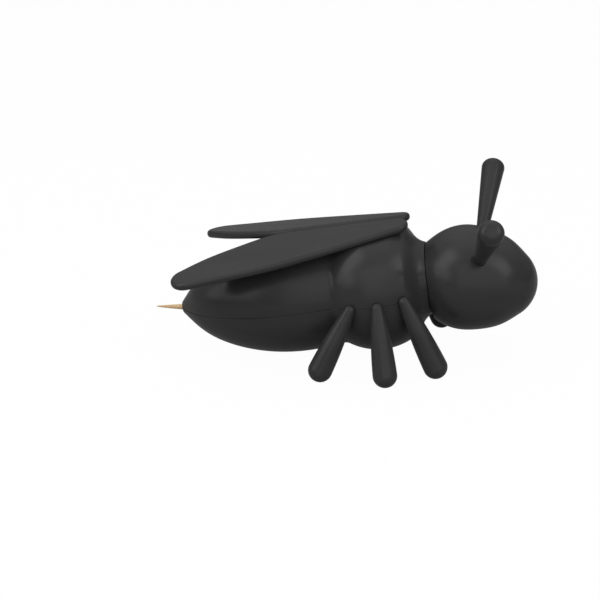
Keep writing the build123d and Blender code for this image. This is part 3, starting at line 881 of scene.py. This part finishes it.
shoulder_in, cove_in = inset([SHOULDER, COVE], WALL)
lip = SOCKET_RADIUS + SOCKET_LIP
mouth = SOCKET_RADIUS + SOCKET_CHAMFER
socket_start = BODY_LENGTH - SOCKET_DEPTH
hollow_points = joined(
    [(abdomen_inside[0][0], 0)],
    abdomen_inside[:-1],
    [p for p in ball_inside if p[0] < shoulder_in[0]],
    [shoulder_in, cove_in, (cove_in[0], lip), (socket_start, lip), (socket_start, SOCKET_RADIUS)],
    [(BODY_LENGTH - SOCKET_CHAMFER, SOCKET_RADIUS), (BODY_LENGTH, mouth), (BODY_LENGTH + OVERCUT, mouth)],
    [(BODY_LENGTH + OVERCUT, 0)],
)
hollow = turn("hollow", hollow_points, 120)
carve(hollow, gable(roof_depth + WALL))
for place in SCREWS:
    carve(hollow, upright("boss", BOSS_RADIUS, -FAR / 2, FAR / 2, place))
for station in RIB_STATIONS:
    bed = oblong(-FAR, FAR, -FAR, -(STOCK_FLOOR + PICK_RADIUS + RIB_CLEARANCE))
    carve(hollow, prism("rib", bed, station - RIB_THICKNESS / 2, station + RIB_THICKNESS / 2))
key_corners = oblong(-KEY_HALF, KEY_HALF, KEY_FLOOR, KEY_ROOF)
carve(hollow, prism("key", key_corners, socket_start - KEY_ROOT, BODY_LENGTH))
print("hollow:", len(hollow.data.polygons), "faces")

# %% [markdown]
# The shells themselves: a half turn with the groove, the roof planes cut off under the wings, then
# the hollow, the leg seats, the screw wells and the tail hole. The hole in the tail lies level, as
# the toothpick does, although the body climbs.

# %% Upper and lower shell
GROOVE = (0.2, 0.08, 0.04)
RIM_START = 78
TAIL_HOLE = 1.25
TAIL_HOLE_SPAN = (-3, 3.6)
TAIL_HOLE_TURN = 2.3
TAIL_LEAD = 1.5
TAIL_LEAD_SPAN = (0.05, 0.35)
WING_GAP = 0.15
WING_ROOT = 3.2
PAD_RADIUS = 2.2
PAD_DEPTH = 5.0
PEG_RADIUS = 1.25
PEG_CLEARANCE = 0.05
BEAD_RADIUS = 1.5
BEAD_BELOW = 2.1
BEAD_HEIGHT = 0.6
BEAD_CLEARANCE = 0.08
PEG_HOLE_DEPTH = 7.0
THREAD_FIT = 0.05
SHANK_FIT = 0.2
BITE_DEPTH = 5.4


def half_body(name, start):
    """Solid half of the body's outside, with the stepped edge of the seam groove."""
    rim = arc((BODY_LENGTH - RIM, body_radius(BODY_LENGTH - RIM) - RIM), RIM, RIM_START, 0, 6)
    skin = [p for p in body_outline if p[0] < BODY_LENGTH - RIM]
    points = joined([(0, 0)], skin, rim, [(BODY_LENGTH, 0)])
    flags = [0.0, 0.0] + [1.0] * (len(points) - 4) + [0.0, 0.0]
    return turn(name, points, 180, start, 180, GROOVE, flags)


def tail_hole(thing):
    """Cut the level hole for the toothpick, with its small lead-in."""
    (start, end), (wide, narrow) = TAIL_HOLE_SPAN, TAIL_LEAD_SPAN
    points = [(start, 0), (start, TAIL_LEAD), (wide, TAIL_LEAD)]
    points += [(narrow, TAIL_HOLE), (end, TAIL_HOLE), (end, 0)]
    carve(thing, moved(turn("hole", points, 50, TAIL_HOLE_TURN), laid_on(TAIL, LEVEL, ZENITH)))


def wing_frame(side, opening=0.0):
    """Matrix of a wing's middle plane: X to the tail, Z away from the body."""
    normal = UPWARD * math.cos(ROOF_ANGLE) + LEFT * (side * math.sin(ROOF_ANGLE))
    outward = LEFT * (side * math.cos(ROOF_ANGLE)) - UPWARD * math.sin(ROOF_ANGLE)
    origin = TAIL + FORWARD * (THORAX_STATION + WING_PIVOT_AHEAD) + UPWARD * WING_RIDGE
    origin += outward * (WING_GAP + WING_ROOT)
    turned = Matrix((-FORWARD, normal.cross(-FORWARD), normal)).transposed().to_4x4()
    swing = Matrix.Rotation(math.radians(-side * opening), 4, "Z")
    return Matrix.Translation(origin) @ turned @ swing


def under_wing(name, radius, top, bottom, side):
    """Cylinder about a wing's pivot between two depths below the wing's middle."""
    return moved(cylinder(name, radius, -bottom, -top), wing_frame(side) @ STAND_UP)


moved(hollow, BODY_FRAME)
for side in SIDES.values():
    carve(hollow, under_wing("pad", PAD_RADIUS, roof_depth, roof_depth + PAD_DEPTH, side))
upper = half_body("upper", 0)
carve(upper, gable(roof_depth))
moved(upper, BODY_FRAME)
lower = moved(half_body("lower", 180), BODY_FRAME)
for shell in (upper, lower):
    carve(shell, hollow, keep_tool=True)
    for leg_name in LEGS:
        for side in SIDES.values():
            carve(shell, leg_form(leg_name, side, 48, LEG_CLEARANCE, STUB_CLEARANCE))
    tail_hole(shell)
bead_middle = WING_THICKNESS / 2 + BEAD_BELOW
for side in SIDES.values():
    room = PEG_RADIUS + PEG_CLEARANCE
    carve(upper, under_wing("peg_hole", room, roof_depth - OVERCUT, roof_depth + PEG_HOLE_DEPTH, side))
    half, wide = BEAD_HEIGHT / 2 + BEAD_CLEARANCE, BEAD_RADIUS + BEAD_CLEARANCE
    carve(upper, under_wing("bead_seat", wide, bead_middle - half, bead_middle + half, side))
for place in SCREWS:
    for shell, radius, bottom, top in (
        (upper, SCREW_SHANK + THREAD_FIT, -OVERCUT, BITE_DEPTH),
        (lower, SCREW_SHANK + SHANK_FIT, -FAR / 2, OVERCUT),
        (lower, SCREW_WELL, -FAR, -SCREW_SEAT),
    ):
        carve(shell, moved(upright("screw_hole", radius, bottom, top, place), BODY_FRAME))
bpy.data.objects.remove(hollow)
finish_mesh(upper, "roof_shell", BLACK, "body", "upper_shell")
finish_mesh(lower, "belly_shell", BLACK, "body", "lower_shell")

# %% [markdown]
# ## Head
# The head is a fatter turned form with a blunt nose. It is hollow, and its flat rear stands square
# to the neck, not to its own axis, so it is cut by a plane. Shallow dimples lie round the roots of
# the antennae, so that these seem to grow out of the head.

# %% Head shell
HEAD_SHAPE = [(-13.6, 6.8), (-9.3, 10.9), (-3.0, 13.35), (3.0, 12.8), (8.5, 10.8)]
HEAD_SLOPE = 48
HEAD_SEAM = 0.15
HEAD_REAR_WALL = 2.2
COLLAR_RADIUS = 8.2
COLLAR_CLEARANCE = 0.05
NOSE_ANGLE = 49.5
ANTENNA_PLACE = 0.85
ANTENNA_TURN = math.radians(48.5)
ANTENNA_LEAN = math.tan(math.radians(11.5))
ANTENNA_SPREAD = math.tan(math.radians(53.0))
ANTENNA_LENGTH = 23.4
ANTENNA_ROOT = 1.45
ANTENNA_TIP = 3.05
ANTENNA_CORNER = 2.2
ANTENNA_PEG = 3.0
ANTENNA_FIT = 0.05
PEG_HOLE = ANTENNA_ROOT + ANTENNA_FIT
DIMPLE_RADIUS = 2.0
DIMPLE_DEPTH = 0.25
nose = arc((HEAD_NOSE - NOSE_RADIUS, 0), NOSE_RADIUS, NOSE_ANGLE, 0, 40)
head_outline = joined(smooth_curve([*HEAD_SHAPE, nose[0]], HEAD_SLOPE, NOSE_ANGLE - 90, 90), nose)
head_outline[-1][1] = 0


def antenna_place(side):
    """Matrix of an antenna, from its root along its axis."""
    out = float(np.interp(ANTENNA_PLACE, *np.transpose(head_outline)))
    above = Vector((-HEAD_AXIS.z, 0, HEAD_AXIS.x))
    radial = above * math.cos(ANTENNA_TURN) + LEFT * (side * math.sin(ANTENNA_TURN))
    root = HEAD_CENTRE + HEAD_AXIS * ANTENNA_PLACE + radial * out
    return laid_on(root, Vector((ANTENNA_LEAN, side * ANTENNA_SPREAD, 1)), FORWARD)


def behind_head(depth):
    """Everything behind a plane square to the neck, a depth ahead of it."""
    return moved(prism("behind", oblong(-FAR, FAR, -FAR, FAR), -FAR, depth), NECK_FRAME)


head = moved(turn("head", joined([(HEAD_SHAPE[0][0], 0)], head_outline), 256), HEAD_FRAME)
inside = [p for p in inset(head_outline, WALL) if p[0] < HEAD_NOSE - WALL]
inside[-1][1] = 0
room = moved(turn("room", joined([(inside[0][0], 0)], inside), 96), HEAD_FRAME)
rear_wall = HEAD_SEAM + HEAD_REAR_WALL
carve(room, behind_head(rear_wall))
carve(head, behind_head(HEAD_SEAM))
carve(head, room)
collar = cylinder("collar", COLLAR_RADIUS + COLLAR_CLEARANCE, -OVERCUT, rear_wall + OVERCUT / 2, 96)
carve(head, moved(collar, NECK_FRAME))
dimple_ball = (DIMPLE_RADIUS**2 + DIMPLE_DEPTH**2) / (2 * DIMPLE_DEPTH)
for side in SIDES.values():
    ball = arc((dimple_ball - DIMPLE_DEPTH, 0), dimple_ball, 180, 0, 48)
    ball[0][1] = ball[-1][1] = 0
    carve(head, moved(turn("dimple", ball, 96), antenna_place(side)))
    carve(head, moved(cylinder("peg_hole", PEG_HOLE, -ANTENNA_PEG, ANTENNA_PEG), antenna_place(side)))
finish_mesh(head, "head_ball", BLACK, "head", "head_shell")

# %% [markdown]
# The head is also the lid. Its plug is a spigot with a collar that pushes into the neck, and a
# keyway in it rides on the neck's key, so that the head stands upright. It is a turned ring, and
# the keyway is cut afterwards, because a lathe can't make what isn't round.

# %% The head's plug
PLUG_RADIUS = 7.65
PLUG_BORE = 6.2
PLUG_CHAMFER = 0.5
plug_end = SOCKET_DEPTH + HEAD_SEAM
collar_end = plug_end + HEAD_REAR_WALL
plug = turn(
    "plug",
    [
        (0, PLUG_BORE), (0, PLUG_RADIUS - PLUG_CHAMFER), (PLUG_CHAMFER, PLUG_RADIUS),
        (plug_end, PLUG_RADIUS), (plug_end, COLLAR_RADIUS), (collar_end, COLLAR_RADIUS),
        (collar_end, PLUG_BORE), (0, PLUG_BORE),
    ],
    160,
)
wide = KEY_HALF + KEY_CLEARANCE
carve(plug, prism("keyway", oblong(-wide, wide, KEY_FLOOR - KEY_CLEARANCE, FAR), -OVERCUT, plug_end))
moved(plug, laid_on(NECK - FORWARD * SOCKET_DEPTH, FORWARD, UPWARD))
finish_mesh(plug, "head_spigot", BLACK, "head", "head_plug")

# %% [markdown]
# The antennae are straight clubs with a flat end and a round corner. Each is one turned form, peg
# included, so that no joint shows where it stands in its dimple.

# %% Antennae
corner = (ANTENNA_LENGTH - ANTENNA_CORNER, ANTENNA_TIP - ANTENNA_CORNER)
shank = np.linspace((0, ANTENNA_ROOT), (corner[0], ANTENNA_TIP), 24)
antenna_outline = joined(
    [(-ANTENNA_PEG, 0), (-ANTENNA_PEG, ANTENNA_ROOT)],
    shank,
    arc(corner, ANTENNA_CORNER, 90, 0, 16),
    [(ANTENNA_LENGTH, 0)],
)
for side_name, side in SIDES.items():
    antenna = moved(turn("antenna", antenna_outline, 96), antenna_place(side))
    finish_mesh(antenna, f"antenna_{side_name}_club", BLACK, "head", f"antenna_{side_name}")

# %% [markdown]
# ## Wings
# A wing is a flat plate with a rounded edge. Extruding an outline and bevelling it would work, but
# the bevel is hard to keep even where the edge turns tightly. Here the outline is offset inwards
# ring by ring while the height follows a quarter circle, which gives an even edge all round.

# %% Wing plates on their pivots
EDGE_ROUND = 0.9
FACE_RINGS = (1.15, 1.7, 2.5)
WING_OPENING = {"left": 2.2, "right": 0.0}
ROOT_ANGLES = (112, 270)
TIP_ANGLES = (-48, 98)
INNER_SLOPES = (0, 42)
OUTER_SLOPES = (22, 8)
STRAIGHT_BACK = 28.1
INNER_EDGE = [(40.5, 1.32), (48.7, 6.32)]
OUTER_EDGE = [(16.6, 9.85), (30.8, 14.6), (44.5, 17.5)]
TIP_MIDDLE = (51.3, 14.42)
TIP_RADIUS = 4.4
PEG_LENGTH = 4.2
PEG_SUNK = 0.4
PEG_SLOT = (0.5, 2.8)
root_arc = arc((0, 0), WING_ROOT, *ROOT_ANGLES, 44)
tip_arc = arc(TIP_MIDDLE, TIP_RADIUS, *TIP_ANGLES, 40)
straight_side = np.linspace((0, -WING_ROOT), (STRAIGHT_BACK, -WING_ROOT), 24)
inner_side = smooth_curve([straight_side[-1], *INNER_EDGE, tip_arc[0]], *INNER_SLOPES, 34)
outer_side = smooth_curve([root_arc[0], *OUTER_EDGE, tip_arc[-1]], *OUTER_SLOPES, 60)
wing_outline = joined(root_arc, straight_side, inner_side, tip_arc, outer_side[::-1])[:-1]


def wing_plate(side):
    """Plate of a wing in its own frame, from its rounded rings."""
    flat = np.array(wing_outline)
    ways = np.roll(flat, -1, axis=0) - np.roll(flat, 1, axis=0)
    ways /= np.linalg.norm(ways, axis=1)[:, None]
    inwards = np.c_[-ways[:, 1], ways[:, 0]]
    half = WING_THICKNESS / 2
    turns = [math.radians(a) for a in np.linspace(0, 90, 9)]
    rings = [(EDGE_ROUND * (1 - math.cos(a)), half - EDGE_ROUND * (1 - math.sin(a))) for a in turns]
    rings += [(depth, half) for depth in FACE_RINGS]
    rings = [(depth, -height) for depth, height in reversed(rings)] + rings
    work = bmesh.new()
    rows = []
    for depth, height in rings:
        spots = flat + inwards * depth
        rows.append([work.verts.new((back, -side * out, height)) for back, out in spots])
    count = len(flat)
    for first, second in zip(rows, rows[1:]):
        for k in range(count):
            after = (k + 1) % count
            work.faces.new((first[k], first[after], second[after], second[k]))
    work.faces.new(rows[0])
    work.faces.new(rows[-1])
    return object_from(mesh_from(work, "wing_plate"), "wing_plate")


sunk = PEG_SUNK - WING_THICKNESS / 2
peg_end = -WING_THICKNESS / 2 - PEG_LENGTH
bead_top, bead_foot = -bead_middle + BEAD_HEIGHT / 2, -bead_middle - BEAD_HEIGHT / 2
peg_outline = [
    (sunk, 0), (sunk, PEG_RADIUS), (bead_top, PEG_RADIUS), (bead_top, BEAD_RADIUS),
    (bead_foot, BEAD_RADIUS), (bead_foot, PEG_RADIUS), (peg_end, PEG_RADIUS), (peg_end, 0),
]
slot_corners = oblong(-PEG_SLOT[0] / 2, PEG_SLOT[0] / 2, -FAR / 8, FAR / 8)
for side_name, side in SIDES.items():
    wing = wing_plate(side)
    carve(wing, moved(turn("peg", peg_outline, 64), STAND_UP), "UNION")
    carve(wing, moved(prism("slot", slot_corners, peg_end - OVERCUT, peg_end + PEG_SLOT[1]), STAND_UP))
    moved(wing, wing_frame(side, WING_OPENING[side_name]))
    finish_mesh(wing, f"wing_{side_name}_blade", BLACK, f"{side_name}_wing", f"wing_{side_name}")

# %% [markdown]
# ## Toothpicks and screws
# The stored toothpicks are eight copies of one, and the shells are closed by two equal screws.
# Copies at set places are a job for a second Geometry Nodes tree: it puts a part on every vertex
# of a small point mesh. The copies are then made real, because an export drops instances.

# %% The copying tree


def copies_tree():
    """Geometry Nodes tree that puts a part on every point."""
    inputs = {"Seats": "Geometry", "Part": "Object", "Material": "Material"}
    g, given = shape_tree("copies", inputs)
    points = g.term("GeometryNodeMeshToPoints", {"Mesh": given["Seats"]})
    part = g.term("GeometryNodeObjectInfo", {"Object": given["Part"]}, output="Geometry")
    placed = g.term("GeometryNodeInstanceOnPoints", {"Points": points, "Instance": part})
    return close_tree(g, placed, given["Material"])


COPIES = copies_tree()
print("copying nodes:", len(COPIES.nodes))


def copies(name, part, seats):
    """One object with a copy of a part at each seat. The part is used up."""
    points = bpy.data.meshes.new(name + "_seats")
    points.from_pydata([tuple(seat) for seat in seats], [], [])
    made = object_from(grown_mesh(object_from(points, name + "_seats"), COPIES, {"Part": part}), name)
    bpy.data.objects.remove(part)
    return made


# %% [markdown]
# A toothpick is a split of bamboo, turned round and pointed at both ends. A plain cone would do
# for a point, but a real one swells a little on its way to the full width.

# %% Toothpicks
PICK_TIP = 0.15
PICK_TIP_FLAT = 0.6
PICK_TIP_RUN = 0.12
PICK_SWELL = 0.05
TAPER_STEPS = 20
STOCK_REAR = 7.0
STOCK_PITCH = 2.1
STOCK_SEATS = [(1.0, 0), (1.5, 1), (1.0, 2), (2.0, 2)]


def pick_form(segments):
    """One double-pointed toothpick along X."""
    points = [(0, 0), (0, PICK_TIP * PICK_TIP_FLAT), (PICK_TIP_RUN, PICK_TIP)]
    for share in np.linspace(1 / TAPER_STEPS, 1, TAPER_STEPS):
        swell = PICK_SWELL * math.sin(math.pi * share)
        points.append((PICK_TAPER * share, PICK_TIP + (PICK_RADIUS - PICK_TIP) * share + swell))
    return turn("pick", joined(points, [(PICK_LENGTH - x, r) for x, r in reversed(points)]), segments)


sting = moved(pick_form(64), laid_on(TAIL - LEVEL * PICK_OUT, LEVEL, ZENITH))
finish_mesh(sting, "toothpick_in_tail", BAMBOO, "sting", "toothpick_out")

row_rise = STOCK_PITCH * math.sqrt(3) / 2
seats = [
    (STOCK_REAR, side * across * STOCK_PITCH, -STOCK_FLOOR + row * row_rise)
    for side in (1, -1)
    for across, row in STOCK_SEATS
]
stock = moved(copies("toothpick_stock", pick_form(32), seats), BODY_FRAME)
stored = [f"toothpick_{k:02d}" for k in range(1, len(seats) + 1)]
finish_mesh(stock, "toothpick_stock", BAMBOO, "body", *stored)

# %% [markdown]
# The screws are small pan heads with a cross recess and a coarse thread. A true helix would cost
# thousands of faces that nobody sees, so the thread is turned as plain rings.

# %% Screws
SCREW_HEAD_HEIGHT = 1.3
SCREW_LENGTH = 8.5
CROWN_ROUND = 0.55
SCREW_TIP = (0.2, 0.35)
THREAD_START = 0.6
THREAD_PITCH = 0.7
THREAD_DEPTH = 0.2
THREAD_CREST = (0.3, 0.4)
RECESS_HALF = 0.25
RECESS_REACH = 1.33
RECESS_DEPTH = 0.7


def screw_form():
    """Pan-head screw with a cross recess and a thread, head down, its seat at zero."""
    centre = (CROWN_ROUND - SCREW_HEAD_HEIGHT, SCREW_HEAD - CROWN_ROUND)
    crown = arc(centre, CROWN_ROUND, 180, 90, 8)
    points = joined([(-SCREW_HEAD_HEIGHT, 0)], crown, [(0, SCREW_HEAD), (0, SCREW_SHANK)])
    root = SCREW_SHANK - THREAD_DEPTH
    for k in range(int((SCREW_LENGTH - 2 * THREAD_START) / THREAD_PITCH)):
        low = THREAD_START + k * THREAD_PITCH
        crest = [(low + rise, SCREW_SHANK) for rise in THREAD_CREST]
        points = joined(points, [(low, root), *crest, (low + THREAD_PITCH, root)])
    run, drop = SCREW_TIP
    points = joined(points, [(SCREW_LENGTH - run, SCREW_SHANK - drop), (SCREW_LENGTH, 0)])
    made = turn("screw", points, 48)
    recess = oblong(-RECESS_REACH, RECESS_REACH, -RECESS_HALF, RECESS_HALF)
    for quarter in (0, math.pi / 2):
        bar = prism("bar", recess, -SCREW_HEAD_HEIGHT - RECESS_DEPTH, -SCREW_HEAD_HEIGHT + RECESS_DEPTH)
        carve(made, moved(bar, Matrix.Rotation(quarter, 4, "X")))
    return moved(made, STAND_UP)


screws = copies("shell_screw_set", screw_form(), [(x, y, -SCREW_SEAT) for x, y in SCREWS])
finish_mesh(moved(screws, BODY_FRAME), "shell_screw_set", STEEL, "body", "shell_screws")

# %% [markdown]
# ## Stage, light and camera
# The set is a plain pale floor in a room that is white to the camera and grows from dim at the
# horizon to pale overhead for the object, so its outline doesn't glow. Two soft boxes draw the
# highlights, a wide fill lights the front, a low one the tail, and a faint one the top. The camera
# looks down at about 22 degrees from the insect's right side.

# %% Floor and room
FLOOR_RADIUS = 1.6
FLOOR_WHITE = 0.975
FLOOR_SHEEN = 0.12
FLOOR_GREY = 0.85
FLOOR_BOUNCE = 0.3
ROOM_LOW = 0.1
ROOM_HIGH = 0.62


def stage_floor():
    """Large pale floor that keeps a faint shadow."""
    work = bmesh.new()
    work.faces.new([work.verts.new((*p, 0)) for p in arc((0, 0), FLOOR_RADIUS, 0, 360, 65)[:-1]])
    mesh = mesh_from(work, "floor")
    floor = object_from(mesh, "floor")
    finish, g = new_finish("pale_floor")
    path = g.node("ShaderNodeLightPath")
    camera_ray = Term(g, path.outputs["Is Camera Ray"])
    seen = camera_ray.maths("MAXIMUM", Term(g, path.outputs["Is Glossy Ray"]) * FLOOR_SHEEN)
    colour = mixed(g, camera_ray, grey(FLOOR_BOUNCE), grey(FLOOR_GREY))
    spread = g.node("ShaderNodeBsdfDiffuse", {"Color": colour})
    glow = g.node("ShaderNodeEmission", {"Color": (1, 1, 1, 1), "Strength": 1.0})
    sockets = {0: seen * FLOOR_WHITE, 1: spread.outputs[0], 2: glow.outputs[0]}
    blend = g.node("ShaderNodeMixShader", sockets)
    g.node("ShaderNodeOutputMaterial", {"Surface": blend.outputs[0]})
    mesh.materials.append(finish)
    floor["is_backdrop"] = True


def room_light():
    """World that is white to the camera and a softer white to the object."""
    world = bpy.data.worlds.new("room")
    world.use_nodes = True
    world.node_tree.nodes.clear()
    g = Graph(world.node_tree)
    seen = g.term("ShaderNodeLightPath", output="Is Camera Ray")
    height = g.parts(g.term("ShaderNodeTexCoord", output="Generated"))[2]
    level = ranged(g, height, 0.05, 0.85, ROOM_LOW, ROOM_HIGH)
    strength = seen + (1 - seen) * level
    light = g.node("ShaderNodeBackground", {"Color": (1, 1, 1, 1), "Strength": strength})
    g.node("ShaderNodeOutputWorld", {"Surface": light.outputs[0]})
    bpy.context.scene.world = world


stage_floor()
room_light()
print("room level", ROOM_LOW, "to", ROOM_HIGH)

# %% Camera and soft boxes
AZIMUTH = math.radians(9.49)
ELEVATION = math.radians(22.3)
ROLL = math.radians(-2.62)
CAMERA_PLACE = Vector((39.38, -280.52, 129.77))
FOCAL_LENGTH = 70.27
SENSOR_WIDTH = 36
SHIFT = (-0.0225, 0.0039)
LIT_PLACE = Vector((5, 0, 20))
flat_back = Vector((math.sin(AZIMUTH), -math.cos(AZIMUTH), 0))
back = flat_back * math.cos(ELEVATION) + ZENITH * math.sin(ELEVATION)
right = Vector((math.cos(AZIMUTH), math.sin(AZIMUTH), 0))
above = back.cross(right)
rolled_right = right * math.cos(ROLL) + above * math.sin(ROLL)
rolled_up = above * math.cos(ROLL) - right * math.sin(ROLL)
lens = bpy.data.cameras.new("camera")
lens.lens = FOCAL_LENGTH
lens.sensor_width = SENSOR_WIDTH
lens.shift_x, lens.shift_y = SHIFT
camera = object_from(lens, "camera")
turned = Matrix((rolled_right, rolled_up, back)).transposed().to_4x4()
camera.matrix_world = Matrix.Translation(CAMERA_PLACE * MM) @ turned
bpy.context.scene.camera = camera


def soft_box(name, way, distance, size, power):
    """Area light in a direction seen from the camera: (right, up, towards the camera)."""
    outwards = (rolled_right * way[0] + rolled_up * way[1] + back * way[2]).normalized()
    light = bpy.data.lights.new(name, "AREA")
    light.shape = "RECTANGLE"
    light.size, light.size_y = size
    light.energy = power
    lamp = object_from(light, name)
    lamp.location = LIT_PLACE * MM + outwards * distance
    lamp.rotation_mode = "QUATERNION"
    lamp.rotation_quaternion = (-outwards).to_track_quat("-Z", "Y")


soft_box("soft_box_left", (-0.69, 0.58, 0.44), 0.55, (0.30, 0.38), 0.74)
soft_box("soft_box_right", (0.66, 0.41, 0.56), 0.60, (0.26, 0.40), 0.56)
soft_box("top_light", (0.0, 1.0, 0.15), 0.60, (0.5, 0.5), 0.24)
soft_box("front_fill", (0.24, 0.06, 0.92), 0.75, (1.4, 0.8), 2.8)
soft_box("side_fill", (-0.88, 0.14, 0.42), 0.70, (0.60, 0.26), 0.7)
bpy.context.scene.view_settings.view_transform = "Standard"
print("camera at, mm:", [round(v / MM, 1) for v in camera.location])

# %% [markdown]
# ## Size
# The visual model has to stay inside the box of the solids. Both boxes are written down, so that
# they can be compared after each change.

# %% Boxes, and the end
low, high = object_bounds()
for title, a, b in (("solids", cad_low, cad_high), ("visual", low, high)):
    print(title, "box, mm:", [round(v / MM, 2) for v in (*a, *b)])
